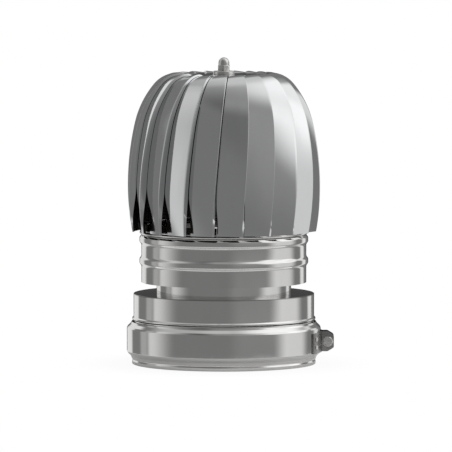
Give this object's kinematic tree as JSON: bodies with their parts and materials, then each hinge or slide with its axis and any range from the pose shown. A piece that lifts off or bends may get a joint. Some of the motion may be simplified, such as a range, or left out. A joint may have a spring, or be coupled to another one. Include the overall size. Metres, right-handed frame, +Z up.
{
  "type": "rotating chimney cowl",
  "caption": "Rotating chimney cowl: a vaned ball-shaped head turns on a bearing over a beaded collar, lid and twin-wall flue end with a locking band.",
  "frame": {"origin": "on the flue axis at the lowest rim, the plane of the casing socket's mouth", "axes": "+Z up along the flue axis, +X towards the clamp of the locking band"},
  "size_m": [0.2293, 0.215, 0.339],
  "materials": {
    "steel_sheet": "polished stainless sheet",
    "brushed_steel": "mill-finish stainless",
    "steel_fastener": "bright stainless fasteners",
    "machined_steel": "turned steel",
    "mineral_wool": "matt mineral wool"
  },
  "bodies": {
    "base": {"adapter_ring": "steel_sheet", "outer_casing": "steel_sheet", "top_plate": "brushed_steel", "inner_liner": "steel_sheet", "insulation_retainer": "brushed_steel", "insulation": "mineral_wool", "locking_band": "steel_sheet", "clamp_ear_front": "steel_sheet", "clamp_ear_rear": "steel_sheet", "ear_rivets": "steel_fastener", "clamp_bolt": "steel_fastener", "clamp_nut": "steel_fastener", "clamp_washers": "steel_fastener", "neck_collar": "steel_sheet", "closing_ring": "brushed_steel", "bearing_bridge": "brushed_steel", "bearing_housing": "machined_steel", "housing_rivets": "steel_fastener", "bearing_outer_races": "machined_steel", "circlips": "machined_steel"},
    "rotor": {"bearing_inner_races": "machined_steel", "rotor_shaft": "machined_steel", "lower_lock_nut": "machined_steel", "bearing_spacer": "machined_steel", "rotor_sleeve": "machined_steel", "crown_plate": "steel_sheet", "crown_cap": "steel_sheet", "crown_boss": "machined_steel", "dome_nut": "steel_fastener", "rotor_ring": "steel_sheet", "vane_01": "steel_sheet", "vane_02": "steel_sheet", "vane_03": "steel_sheet", "vane_04": "steel_sheet", "vane_05": "steel_sheet", "vane_06": "steel_sheet", "vane_07": "steel_sheet", "vane_08": "steel_sheet", "vane_09": "steel_sheet", "vane_10": "steel_sheet", "vane_11": "steel_sheet", "vane_12": "steel_sheet", "vane_13": "steel_sheet", "vane_14": "steel_sheet", "vane_15": "steel_sheet", "vane_16": "steel_sheet", "vane_17": "steel_sheet", "vane_18": "steel_sheet", "vane_19": "steel_sheet", "vane_20": "steel_sheet"},
    "ball_train": {"bearing_balls": "machined_steel", "ball_cages": "machined_steel"}
  },
  "joints": [
    {"name": "rotor_spin", "type": "hinge", "parent": "base", "child": "rotor", "pos_m": [0, 0, 0.118], "axis": [0, 0, 1], "continuous": true},
    {"name": "ball_spin", "type": "hinge", "parent": "base", "child": "ball_train", "pos_m": [0, 0, 0.118], "axis": [0, 0, 1], "continuous": true}
  ],
  "couplings": [
    {"joint": "ball_spin", "follows": "rotor_spin", "ratio": 0.368}
  ]
}
